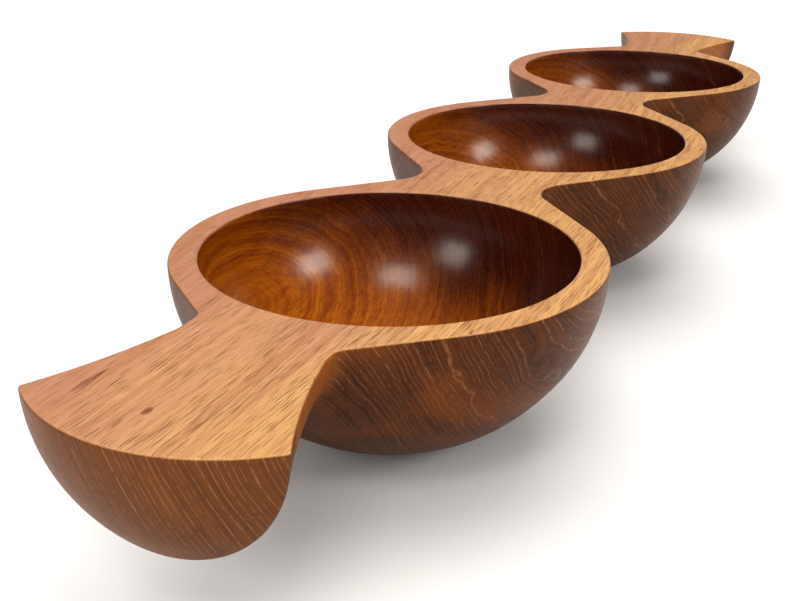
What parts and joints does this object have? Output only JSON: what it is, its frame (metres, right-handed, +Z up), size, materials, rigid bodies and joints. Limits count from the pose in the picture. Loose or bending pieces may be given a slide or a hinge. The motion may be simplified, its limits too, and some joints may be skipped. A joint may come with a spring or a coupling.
{
  "type": "three-bowl serving dish",
  "caption": "Long carved wooden serving dish: round bowls in a row, joined by narrow necks, with a fan-shaped handle at each end.",
  "frame": {"origin": "on the table, under the centre of the middle bowl", "axes": "+X along the row of bowls, +Y across it, +Z up"},
  "size_m": [0.5606, 0.1292, 0.0565],
  "materials": {
    "teak": "oiled solid teak, satin, with the grain running along the dish; the flat top is paler and drier"
  },
  "bodies": {
    "root": {"carved_dish": "teak"}
  },
  "joints": []
}
